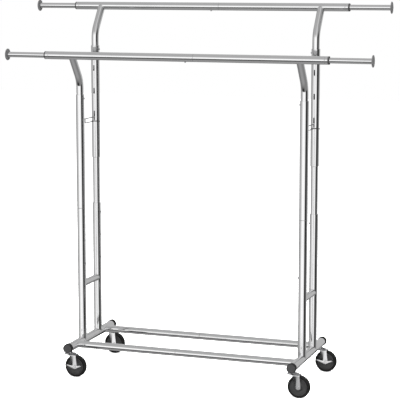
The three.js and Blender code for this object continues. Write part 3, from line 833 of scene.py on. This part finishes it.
class RACK_OT_hang_rods(bpy.types.Operator):
    """Build the halves of the two hang rods with their bent arms."""
    bl_idname = "rack.hang_rods"
    bl_label = "Hang rods"

    def execute(self, context):
        end_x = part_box("hang_rod_front_right")[1].x
        button_x = middle("rod_button_front").x
        bore = ROD_RADIUS - shape().wall
        groove_start, groove_width, groove_depth, steps = end_x - 15.5 * MM, 4 * MM, 1 * MM, 8
        groove = [(ROD_RADIUS, end_x - 17 * MM)]
        for step in range(steps + 1):
            part = step / steps
            dip = groove_depth * math.sin(part * math.pi) ** 2
            groove.append((ROD_RADIUS - dip, groove_start + groove_width * part))
        edge = shape().edge
        rim = rounded(ROD_RADIUS, end_x, edge, -1, 1) + [(bore + 0.2 * MM, end_x), (bore, end_x - 0.4 * MM)]
        seam = ROD_SEAM
        roll = shape().roll
        left = [*reversed(rounded(ROD_RADIUS, -seam, roll, -1, -1)), *groove, *rim, (bore, -seam)]
        plug = bore - CLEARANCE
        inner_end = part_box("hang_rod_front_right")[0].x
        right = [(plug, inner_end), (plug, seam + CLEARANCE)]
        right += [*reversed(rounded(ROD_RADIUS, seam + CLEARANCE, roll, -1, -1)), *groove, *rim]
        right += [(bore, seam + 2 * MM), (plug - shape().wall, seam), (plug - shape().wall, inner_end)]
        for name, side in SIDES:
            outline = right if side > 0 else left
            rod = turned("rod", outline + [outline[0]])
            set_down(rod, ALONG_X)
            if side < 0:
                set_down(rod, HALF_TURN)
            button_hole(rod, turn_by(x=180), x=button_x)
            for end_name, end in ENDS:
                arm = self.arm(end, end_name)
                set_down(arm, UPRIGHT, (POST_X[name], POST_Y[end_name], POST_TOP[end_name]))
                place = (0, ROD_Y[end_name], ROD_Z[end_name])
                whole = joined("hang_rod", copy_of(rod, "rod", UPRIGHT, place), arm)
                hand_over(whole, f"hang_rod_{end_name}_{name}", chrome())
            bpy.data.objects.remove(rod)
        return {"FINISHED"}

    @staticmethod
    def arm(end, end_name):
        """An arm that leans to the side given by end, from the plug in its post to the rod."""
        lean = math.radians(36)
        bend = 100 * MM
        reach = abs(ROD_Y[end_name]) - POST_Y["rear"]
        rise = ROD_Z[end_name] - POST_TOP[end_name]
        start = rise - reach / math.tan(lean) - bend * math.tan(lean / 2)
        deselect_all()
        bpy.ops.mesh.primitive_circle_add(
            vertices=shape().tube_sides, radius=INNER_RADIUS, location=(0, 0, 0), fill_type="NOTHING")
        piece = new_primitive("arm")
        edit(piece, "EDGE")
        bpy.ops.transform.translate(value=(0, 0, -ARM_PLUG))
        bpy.ops.mesh.extrude_region_move(TRANSFORM_OT_translate={"value": (0, 0, ARM_PLUG + start)})
        bpy.ops.mesh.spin(
            steps=shape().bend_steps, angle=lean, center=(0, end * bend, start), axis=(end, 0, 0))
        y = end * bend * (1 - math.cos(lean))
        z = start + bend * math.sin(lean)
        bpy.ops.mesh.extrude_region_move(
            TRANSFORM_OT_translate={"value": (0, end * reach - y, rise - z)})
        bpy.ops.mesh.select_all(action="DESELECT")
        bpy.ops.mesh.select_non_manifold(extend=False)
        bpy.ops.mesh.edge_face_add()
        bpy.ops.object.mode_set(mode="OBJECT")
        outward_faces(piece)
        bite = 0.5 * MM  # the arm's end goes this much deeper into the rod than the other copes do
        cope(piece, ROD_RADIUS - bite, ALONG_X, y=end * reach, z=rise)
        axis_start = Vector((0, end * reach, rise))
        along = Vector((0, end * math.sin(lean), math.cos(lean)))

        def on_saddle(point):
            offset = point - axis_start
            outside = abs((offset - along * offset.dot(along)).length - INNER_RADIUS) < ON_SURFACE
            return outside and abs(math.hypot(offset.y, offset.z) - ROD_RADIUS + COPE + bite) < ON_SADDLE / 2

        return joined("arm", piece, bead_round(piece, on_saddle, shape().bead * 1.2))


class RACK_OT_rod_ends(bpy.types.Operator):
    """Build the bushes, pull-out rods and end discs."""
    bl_idname = "rack.rod_ends"
    bl_label = "Rod ends"

    def execute(self, context):
        low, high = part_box("rod_bush_front_right")
        rod_low, rod_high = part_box("pull_out_rod_front_right")
        disc_low, disc_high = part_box("rod_end_disc_front_right")
        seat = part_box("hang_rod_front_right")[1].x
        radius = PULL_OUT_RADIUS
        bush = turned("bush", self.bush(low.x, high.x, seat, radius + CLEARANCE))
        guide = (rod_high.z - rod_low.z) / 2
        bore = radius - shape().wall
        neck = rod_low.x + 20 * MM
        tube = [(guide - 0.8 * MM, rod_low.x), (guide, rod_low.x + 0.8 * MM), (guide, neck - 1 * MM)]
        tube += [(guide - 1 * MM, neck), (radius, neck), (radius, rod_high.x - 0.4 * MM)]
        tube += [(radius - 0.4 * MM, rod_high.x), (bore, rod_high.x), (bore, rod_low.x)]
        pull_out = turned("pull_out", tube + [tube[0]])
        rim = (disc_high.z - disc_low.z) / 2
        face = disc_high.x
        back = rod_high.x + CLEARANCE
        plug = bore - CLEARANCE
        disc = [(bore - 1 * MM, disc_low.x), (plug, disc_low.x + 1 * MM), (plug, back)]
        disc += [(rim - 1 * MM, back), (rim - 0.25 * MM, back + 0.3 * MM), (rim, back + 1 * MM)]
        disc += rounded(rim, face - 0.7 * MM, 1.2 * MM, -1, 1)
        disc += [(rim - 4 * MM, face - 0.35 * MM), (rim - 10 * MM, face - 0.1 * MM), (rim - 18 * MM, face)]
        cap = turned("disc", disc)
        for piece, node, material, slot in (
            (bush, "rod_bush", black_plastic(), "black_plastic"),
            (pull_out, "pull_out_rod", chrome(), "chrome"),
            (cap, "rod_end_disc", grey_plastic(), "grey_plastic"),
        ):
            set_down(piece, ALONG_X)
            for name, side in SIDES:
                turn = UPRIGHT if side > 0 else HALF_TURN
                for end_name, _ in ENDS:
                    twin = copy_of(piece, node, turn)
                    set_down(twin, UPRIGHT, (0, ROD_Y[end_name], ROD_Z[end_name]))
                    hand_over(twin, f"{node}_{end_name}_{name}", material)
            bpy.data.objects.remove(piece)
        return {"FINISHED"}

    @staticmethod
    def bush(low, high, seat, bore):
        """The outline of a grooved sleeve with a visible ring outside the rod's end at seat."""
        sleeve = ROD_RADIUS - shape().wall - CLEARANCE
        outline = [(sleeve - 0.5 * MM, low), (sleeve, low + 0.5 * MM), (sleeve, seat - 17 * MM)]
        outline += [(sleeve - 0.8 * MM, seat - 14.5 * MM), (sleeve - 0.8 * MM, seat - 12.5 * MM)]
        ring = seat + 0.2 * MM
        outline += [(sleeve, seat - 10 * MM), (sleeve, ring), (ROD_RADIUS - 0.3 * MM, ring)]
        outline += [(ROD_RADIUS, seat + 0.5 * MM)]
        outline += rounded(ROD_RADIUS, high, 1.4 * MM, -1, 1)
        outline += [(bore + 0.5 * MM, high), (bore, high - 0.5 * MM), (bore, low)]
        return outline + [outline[0]]


class RACK_OT_snap_buttons(bpy.types.Operator):
    """Build the snap buttons with the leaf springs they stand on."""
    bl_idname = "rack.snap_buttons"
    bl_label = "Snap buttons"

    def execute(self, context):
        wall = shape().wall
        drop = math.radians(RAIL_BUTTON_DROP)
        down_and_forward = (0, -math.cos(drop), -math.sin(drop))
        along_x, along_z, down = (1, 0, 0), (0, 0, 1), (0, 0, -1)
        for end_name, _ in ENDS:
            for name, side in SIDES:
                for kind in ("arm", "height"):
                    node = f"{kind}_button_{end_name}_{name}"
                    axis = (POST_X[name], POST_Y[end_name], middle(node).z)
                    self.place(node, POST_RADIUS, INNER_RADIUS - wall, (-side, 0, 0), along_z, axis)
            node = f"rod_button_{end_name}"
            axis = (middle(node).x, ROD_Y[end_name], ROD_Z[end_name])
            self.place(node, ROD_RADIUS, ROD_RADIUS - 2 * wall - CLEARANCE, down, along_x, axis)
            node = f"rail_button_{end_name}"
            axis = (middle(node).x, RAIL_Y[end_name], FOOT_Z)
            bore = RAIL_RADIUS - 2 * wall - CLEARANCE
            self.place(node, RAIL_RADIUS, bore, down_and_forward, along_x, axis)
        return {"FINISHED"}

    @classmethod
    def place(cls, node, radius, bore, direction, along, axis):
        """A button that points in the direction given, in a tube of the radius that runs along its axis."""
        piece = cls.button(bore, radius + BUTTON_REACH)
        direction, along = Vector(direction), Vector(along)
        turn = Matrix((direction, along.cross(direction), along)).transposed().to_4x4()
        set_down(piece, turn, axis)
        hand_over(piece, node, zinc())

    @staticmethod
    def button(bore, tip):
        """A button that points along +X, on a leaf spring that runs along Z."""
        radius, dome, spring = 4 * MM, 1.6 * MM, 0.8 * MM
        seat = bore - 1.1 * MM
        outline = [(radius, seat - spring), (radius, tip - dome)]
        for step in range(1, 6):
            angle = step / 6 * math.pi / 2
            outline.append((radius * math.cos(angle) ** 0.6, tip - dome + dome * math.sin(angle)))
        pin = turned("pin", outline, 32)
        set_down(pin, ALONG_X)
        half, reach, corner = 3.5 * MM, 12 * MM, 1 * MM
        outline = [(-half, -reach + corner), (-half + corner, -reach)]
        outline += [(-x, z) for x, z in reversed(outline)]
        outline += [(x, -z) for x, z in reversed(outline)]
        leaf = plate("leaf", outline, spring)
        set_down(leaf, turn_by(z=90), (seat - spring / 2, 0, 0))
        return joined("button", pin, leaf)


class RACK_OT_wire_clips(bpy.types.Operator):
    """Build the two bent wire clips between the upper posts."""
    bl_idname = "rack.wire_clips"
    bl_label = "Wire clips"

    def execute(self, context):
        radius = 1.8 * MM
        for name, _ in SIDES:
            node = f"wire_clip_{name}"
            low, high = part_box(node)
            x = POST_X[name]
            top = high.z - radius
            front = low.y + radius
            rear = high.y - radius
            bottom = low.z + radius
            rise = POST_Y["front"] + POST_RADIUS + 35 * MM
            front_hook, rear_hook = top - 10 * MM, top - 15 * MM
            upper = [(x, front, front_hook), (x, front, top), (x, rear, top), (x, rear, rear_hook)]
            long_wire = wire("wire", upper, radius, 3.5 * MM)
            lower = [(x, rise, top), (x, rise, bottom), (x, rear - 2.6 * MM, bottom)]
            short_wire = wire("wire", lower, radius, 4 * MM)
            cross = wire("wire", [(low.x + radius, rear, bottom), (high.x - radius, rear, bottom)], radius)
            hand_over(joined("clip", long_wire, short_wire, cross), node, wire_steel(), 50)
        return {"FINISHED"}


# ---- Casters ------------------------------------------------------------------------------------

class RACK_OT_casters(bpy.types.Operator):
    """Build the four swivel casters with their stems, forks, wheels and brake levers."""
    bl_idname = "rack.casters"
    bl_label = "Casters"

    def execute(self, context):
        stem = self.stem()
        fork = self.fork()
        wheel = self.wheel()
        lever = self.lever()
        for name, side in SIDES:
            for end_name, end in ENDS:
                key = f"{end_name}_{name}"
                stem_box = middle(f"caster_stem_{key}")
                swivel = (stem_box.x, stem_box.y, 0)
                hub = middle(f"wheel_{key}")
                hand_over(copy_of(stem, "stem", UPRIGHT, swivel), f"caster_stem_{key}", zinc())
                braked = side == end
                whole = joined("fork", copy_of(fork, "fork"), self.axle(braked))
                set_down(whole, UPRIGHT, swivel)
                hand_over(whole, f"caster_fork_{key}", chrome(), 40)
                hand_over(copy_of(wheel, "wheel", UPRIGHT, hub), f"wheel_{key}", None)
                if braked:
                    twin = copy_of(lever, "lever", UPRIGHT, hub)
                    hand_over(twin, f"brake_lever_{key}", chrome(), 40)
        for piece in (stem, fork, wheel, lever):
            bpy.data.objects.remove(piece)
        return {"FINISHED"}

    @staticmethod
    def stem():
        """Head, king pin, raceway and collar, about Z above the floor."""
        low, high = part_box("caster_stem_front_left")
        disc = extent("caster_stem_front_left").x / 2
        head, head_top, pin = 7.5 * MM, 101.2 * MM, 4.5 * MM
        race, collar, collar_top, bolt = 103.8 * MM, 11 * MM, 114.7 * MM, 5.5 * MM
        outline = [(head - 1.5 * MM, low.z), (head, low.z + 1 * MM), (head, head_top), (pin, head_top)]
        outline += [(pin, race), (disc - 1 * MM, race), (disc, race + 0.6 * MM)]
        outline += [(disc, race + 1.6 * MM), (disc - 2.2 * MM, race + 2.4 * MM)]
        outline += [(disc - 9 * MM, race + 2.6 * MM), (disc - 11 * MM, race + 3.4 * MM)]
        outline += [(collar + 1.5 * MM, race + 3.4 * MM), (collar, race + 4.2 * MM)]
        outline += [(collar, collar_top - 0.9 * MM), (collar - 1 * MM, collar_top), (bolt, collar_top)]
        outline += [(bolt, high.z - 1 * MM), (bolt - 1 * MM, high.z)]
        return turned("stem", outline, 56)

    @staticmethod
    def fork():
        """The pressed fork: a U of sheet, cut to its side and plan outlines, with a folded leading edge."""
        inside, sheet, crown, foot = 14.5 * MM, 2 * MM, 101.5 * MM, 38 * MM
        outside = inside + sheet
        corner = 5 * MM
        steps = 6
        profile = [(-outside, foot)]
        lining = [(inside, foot)]
        for step in range(steps + 1):
            angle = math.pi - step / steps * math.pi / 2
            profile.append((-outside + corner + corner * math.cos(angle),
                            crown + sheet - corner + corner * math.sin(angle)))
        inner = corner - sheet
        for step in range(steps + 1):
            angle = step / steps * math.pi / 2
            lining.append((inside - inner + inner * math.cos(angle), crown - inner + inner * math.sin(angle)))
        profile += [(-x, z) for x, z in reversed(profile)]
        lining += [(-x, z) for x, z in reversed(lining)]
        shell = plate("fork", profile + lining, 70 * MM)
        set_down(shell, turn_by(z=90), (10 * MM, 0, 0))

        # Seen from the side, each leg narrows from the crown to a round boss on the axle.
        boss = 11 * MM
        front, waist, back, above = -22 * MM, 0.5 * MM, 33 * MM, crown + 3 * MM
        under = crown - 0.01 * MM
        side = [(front, above), (front, under), (waist, under), (waist, crown - 5 * MM)]
        steps = 16
        for step in range(steps + 1):
            angle = math.radians(188 + step / steps * 180)
            side.append((TRAIL + boss * math.cos(angle), AXLE_HEIGHT + boss * math.sin(angle)))
        side += [(back, crown - 8 * MM), (back, above)]
        cut_away(shell, plate("side", side, 60 * MM), "INTERSECT")

        # Seen from above, the crown is round about the king pin.
        crown_radius, half_width = 21 * MM, 17 * MM
        plan = []
        steps = 24
        for step in range(steps + 1):
            angle = math.radians(52 + step / steps * 256)
            plan.append((crown_radius * math.cos(angle), crown_radius * math.sin(angle)))
        plan += [(41 * MM, -half_width), (41 * MM, half_width)]
        cutter = plate("plan", plan, 90 * MM)
        set_down(cutter, turn_by(x=90), (0, 0, 75 * MM))
        cut_away(shell, cutter, "INTERSECT")

        # Fold the leading flange of each leg inwards along a line from the crown to the axle boss.
        fold_top = Vector((20 * MM, 0, crown - 3 * MM))
        fold_foot = Vector((17 * MM, 0, AXLE_HEIGHT))
        across = (fold_top - fold_foot).cross(Vector((0, 1, 0))).normalized()
        fold_depth, flange_top, flange_foot = 1.9 * MM, crown - 4.5 * MM, 60 * MM
        edit(shell, "VERT")
        bpy.ops.mesh.bisect(plane_co=fold_top, plane_no=across, clear_inner=False, clear_outer=False)
        bpy.ops.object.mode_set(mode="OBJECT")
        for face in (-1, 1):

            def in_flange(vertex, face=face):
                off_fold = abs((vertex.co - fold_top).dot(across)) > 1e-5
                on_leg = vertex.co.y * face > 12 * MM and flange_foot < vertex.co.z < flange_top
                return off_fold and on_leg and vertex.co.x < fold_top.x - 1 * MM

            pick(shell, "vertices", in_flange)
            bpy.ops.transform.translate(value=(0, -face * fold_depth, 0))
            bpy.ops.object.mode_set(mode="OBJECT")
        soften(shell, 0.35 * MM, 2, 40)
        return shell

    @staticmethod
    def axle(braked):
        """The riveted axle with dimpled heads, longer towards -Y where a lever sits on it."""
        lever_room = LEVER_SHEET + 2 * CLEARANCE if braked else 0.0
        low = -LEG_SEAT - lever_room
        shank, radius, head = 4 * MM, 6.5 * MM, 2 * MM
        depths = ((radius, 0.0), (radius, head - 0.7 * MM), (radius - 0.7 * MM, head), (2.2 * MM, head),
                  (1.6 * MM, head - 1 * MM), (0.4 * MM, head - 1.3 * MM))
        outline = [(r, low - depth) for r, depth in reversed(depths)] + [(shank, low), (shank, LEG_SEAT)]
        outline += [(r, LEG_SEAT + depth) for r, depth in depths]
        return set_down(turned("axle", outline, 40), ALONG_Y, (TRAIL, 0, AXLE_HEIGHT))

    @staticmethod
    def wheel():
        """A rubber tyre on a dished plastic centre with a hub, about Y."""
        radius, half, seat, shoulder = 50 * MM, 12 * MM, 38.5 * MM, 4.2 * MM
        tyre = [(seat, -half + 1 * MM), (seat + 1.5 * MM, -half)]
        steps = 12
        for step in range(steps + 1):
            part = step / steps * 2 - 1
            bulge = (1 - abs(part) ** 3.2) ** 0.6
            tyre.append((radius - shoulder * (1 - bulge), part * half))
        tyre += [(seat + 1.5 * MM, half), (seat, half - 1 * MM)]
        ring = turned("tyre", tyre + [tyre[0]], 96)
        side = [(38.4 * MM, half - 1.2 * MM), (37 * MM, half - 1.6 * MM), (34 * MM, half - 5 * MM)]
        side += [(20 * MM, half - 5.6 * MM), (15.5 * MM, half - 3 * MM), (13.5 * MM, half + 1.6 * MM)]
        side += [(12.9 * MM, 14 * MM), (4.6 * MM, 14 * MM)]
        outline = [(r, -y) for r, y in reversed(side)] + side
        centre = turned("centre", outline + [outline[0]], 80)
        ring.data.materials.append(tyre_rubber())
        centre.data.materials.append(wheel_plastic())
        return set_down(joined("wheel", ring, centre), ALONG_Y)

    @staticmethod
    def lever():
        """The rocking brake lever: a shallow V on a boss, with a foot pad at each tip."""
        inner = -LEG_SEAT - CLEARANCE
        low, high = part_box("brake_lever_front_left")
        hub = middle("wheel_front_left")
        front, rear = low.x - hub.x, high.x - hub.x
        top, bottom = high.z - hub.z, low.z - hub.z
        tip_height, boss, steps = 3.2 * MM, 8.6 * MM, 8
        outline = [(front, top - tip_height), (-6 * MM, bottom + 0.6 * MM), (-3.5 * MM, bottom)]
        outline += [(3.5 * MM, bottom), (6 * MM, bottom + 0.6 * MM), (rear, top - tip_height)]
        outline += [(rear, top), (9.5 * MM, 3.8 * MM)]
        for step in range(steps + 1):
            angle = math.radians(30 + step / steps * 120)
            outline.append((boss * math.cos(angle), boss * math.sin(angle)))
        outline += [(-9.5 * MM, 3.8 * MM), (front, top)]
        web = plate("lever", outline, LEVER_SHEET, inner - LEVER_SHEET / 2)
        hole, depth = 4.5 * MM, 20 * MM
        cut_away(web, set_down(drill(hole, depth), ALONG_Y, (0, inner - depth / 2, 0)))
        soften(web, 0.4 * MM, 2, 40)
        pads = []
        thick, slope, length, width = 2.2 * MM, 0.7 * MM, 7 * MM, 12.6 * MM
        for x, sign in ((front, 1), (rear, -1)):
            near_hub = x + sign * length
            profile = [(x, top), (x, top - thick), (near_hub, top - slope - thick), (near_hub, top - slope)]
            pad = plate("pad", profile, width, inner - width / 2)
            soften(pad, 0.5 * MM, 3, 40)
            pads.append(pad)
        return joined("lever", web, *pads)


# ---- Stage --------------------------------------------------------------------------------------

class RACK_OT_stage(bpy.types.Operator):
    """Build the floor, the studio light and the camera."""
    bl_idname = "rack.stage"
    bl_label = "Stage"

    def execute(self, context):
        settings = context.scene.rack_stage
        self.camera(settings)
        self.floor(settings)
        self.world()
        self.key_light(settings)
        context.scene.view_settings.view_transform = "Standard"
        return {"FINISHED"}

    @staticmethod
    def camera(settings):
        deselect_all()
        bpy.ops.object.camera_add()
        camera = bpy.context.object
        camera.name = "camera"
        away = Vector((
            math.sin(settings.azimuth) * math.cos(settings.elevation),
            -math.cos(settings.azimuth) * math.cos(settings.elevation),
            math.sin(settings.elevation),
        ))
        camera.location = Vector(settings.aim) + away * settings.distance
        camera.rotation_euler = (-away).to_track_quat("-Z", "Y").to_euler()
        camera.data.lens = settings.lens
        camera.data.sensor_width = 36
        camera.data.clip_end = 200
        bpy.context.scene.camera = camera

    @staticmethod
    def floor(settings):
        deselect_all()
        bpy.ops.mesh.primitive_plane_add(size=settings.floor_size, location=(0, 0, 0))
        floor = new_primitive("floor")
        paint = bpy.data.materials.new("pale_floor")
        paint.use_nodes = True
        shader = paint.node_tree.nodes["Principled BSDF"]
        shader.inputs["Base Color"].default_value = (0.93, 0.93, 0.93, 1)
        shader.inputs["Roughness"].default_value = 0.9
        shader.inputs["Specular IOR Level"].default_value = 0.0
        shader.inputs["Emission Color"].default_value = (1, 1, 1, 1)
        shader.inputs["Emission Strength"].default_value = 0.72
        floor.data.materials.append(paint)
        floor.visible_glossy = False

    @staticmethod
    def key_light(settings):
        deselect_all()
        bpy.ops.object.light_add(type="AREA", location=(0.8, -1.5, 5.0))
        light = bpy.context.object
        light.name = "overhead_soft_light"
        light.data.shape = "DISK"
        light.data.size = 5.0
        light.data.energy = settings.key_power
        aim = Vector((0, 0, 0.6))
        light.rotation_euler = (aim - light.location).to_track_quat("-Z", "Y").to_euler()
        light.visible_glossy = False
        light.visible_camera = False

    @staticmethod
    def world():
        """A white studio with grey flats behind, a black flag on the right and a dark band below.

        Places around are degrees from the camera's own side, and heights are the Z of a direction.
        """
        world = bpy.data.worlds.new("studio")
        bpy.context.scene.world = world
        world.use_nodes = True
        nodes, links = world.node_tree.nodes, world.node_tree.links
        nodes.clear()
        coord = nodes.new("ShaderNodeTexCoord")
        turn = nodes.new("ShaderNodeVectorRotate")
        turn.rotation_type = "Z_AXIS"
        turn.inputs["Angle"].default_value = -bpy.context.scene.rack_stage.azimuth
        links.new(coord.outputs["Generated"], turn.inputs["Vector"])
        split = nodes.new("ShaderNodeSeparateXYZ")
        links.new(turn.outputs["Vector"], split.inputs["Vector"])
        back = calculate(nodes, links, "MULTIPLY", split.outputs["Y"], -1)
        around = calculate(nodes, links, "ARCTAN2", split.outputs["X"], back)
        turns = remap(nodes, links, around, -math.pi, math.pi, 0.0, 1.0)
        up = remap(nodes, links, split.outputs["Z"], -1.0, 1.0, 0.0, 1.0)

        def levels_around(*stops):
            return RACK_OT_stage.ramp(nodes, links, turns, stops, -180, 180)

        def levels_up(*stops):
            return RACK_OT_stage.ramp(nodes, links, up, stops, -1, 1)

        sides = levels_around(
            (-180, 0.42), (-150, 0.32), (-110, 0.28), (-85, 0.42), (-60, 0.56), (-53, 0.62), (-46, 0.92),
            (-30, 0.92), (0, 0.88), (20, 0.8), (27, 0.5), (34, 0.03), (70, 0.025), (82, 0.08), (97, 0.22),
            (112, 0.4), (150, 0.42), (180, 0.42))
        ceiling = levels_around(
            (-180, 0.42), (-100, 0.36), (-55, 0.38), (-20, 0.42), (8, 0.56), (22, 0.52), (42, 0.3),
            (75, 0.26), (110, 0.38), (180, 0.42))
        floor_by_height = levels_up(
            (-1.0, 0.3), (-0.9, 0.26), (-0.74, 0.2), (-0.6, 0.12), (-0.5, 0.03), (-0.25, 0.025), (1.0, 0.03))
        floor_by_side = levels_around(
            (-180, 0.14), (-90, 0.2), (-64, 0.0), (-18, 0.0), (5, 0.2), (100, 0.2), (180, 0.14))
        floor_light = calculate(nodes, links, "MAXIMUM", floor_by_height, floor_by_side)
        is_ceiling = levels_up((-1.0, 0.0), (0.22, 0.0), (0.5, 1.0), (1.0, 1.0))
        is_floor = levels_up((-1.0, 1.0), (-0.285, 1.0), (-0.24, 0.0), (1.0, 0.0))
        walls = blend(nodes, links, "FLOAT", is_ceiling, sides, ceiling)
        room = blend(nodes, links, "FLOAT", is_floor, walls, floor_light)
        studio = nodes.new("ShaderNodeBackground")
        links.new(room, studio.inputs["Color"])
        studio.inputs["Strength"].default_value = 1.3
        white = nodes.new("ShaderNodeBackground")
        white.inputs["Color"].default_value = (1, 1, 1, 1)
        ray = nodes.new("ShaderNodeLightPath")
        mix = nodes.new("ShaderNodeMixShader")
        links.new(ray.outputs["Is Camera Ray"], mix.inputs["Fac"])
        links.new(studio.outputs[0], mix.inputs[1])
        links.new(white.outputs[0], mix.inputs[2])
        result = nodes.new("ShaderNodeOutputWorld")
        links.new(mix.outputs[0], result.inputs["Surface"])

    @staticmethod
    def ramp(nodes, links, value, stops, low, high):
        """A grey ramp through (place, level) stops; places run from low, where the first stop is, to high."""
        ramp = nodes.new("ShaderNodeValToRGB")
        elements = ramp.color_ramp.elements
        elements.remove(elements[1])
        for place, grey in stops:
            position = (place - low) / (high - low)
            stop = elements.new(position) if position > 0 else elements[0]
            stop.color = (grey, grey, grey, 1)
        links.new(value, ramp.inputs["Fac"])
        return ramp.outputs["Color"]


class RACK_PT_panel(bpy.types.Panel):
    """Lists what the add-on builds."""
    bl_label = "Clothes Rack"
    bl_idname = "RACK_PT_panel"
    bl_space_type = "VIEW_3D"
    bl_region_type = "UI"
    bl_category = "Clothes Rack"

    def draw(self, context):
        for operator in OPERATORS:
            self.layout.operator(operator.bl_idname)
        for group in ("rack_finish", "rack_shape", "rack_stage"):
            settings = getattr(context.scene, group)
            for key in settings.__annotations__:
                self.layout.prop(settings, key)


OPERATORS = (
    RACK_OT_feet, RACK_OT_end_frames, RACK_OT_bottom_rails, RACK_OT_upper_posts, RACK_OT_hang_rods,
    RACK_OT_rod_ends, RACK_OT_snap_buttons, RACK_OT_wire_clips, RACK_OT_casters, RACK_OT_stage,
)
SETTINGS = {
    "rack_finish": RackFinishSettings, "rack_shape": RackShapeSettings, "rack_stage": RackStageSettings,
}


def register():
    for cls in (*SETTINGS.values(), *OPERATORS, RACK_PT_panel):
        bpy.utils.register_class(cls)
    for name, cls in SETTINGS.items():
        setattr(bpy.types.Scene, name, bpy.props.PointerProperty(type=cls))


def unregister():
    for name in SETTINGS:
        delattr(bpy.types.Scene, name)
    for cls in (RACK_PT_panel, *reversed(OPERATORS), *SETTINGS.values()):
        bpy.utils.unregister_class(cls)


def main():
    register()
    bpy.ops.rack.feet()
    bpy.ops.rack.end_frames()
    bpy.ops.rack.bottom_rails()
    bpy.ops.rack.upper_posts()
    bpy.ops.rack.hang_rods()
    bpy.ops.rack.rod_ends()
    bpy.ops.rack.snap_buttons()
    bpy.ops.rack.wire_clips()
    bpy.ops.rack.casters()
    bpy.ops.rack.stage()


if __name__ == "__main__":
    main()
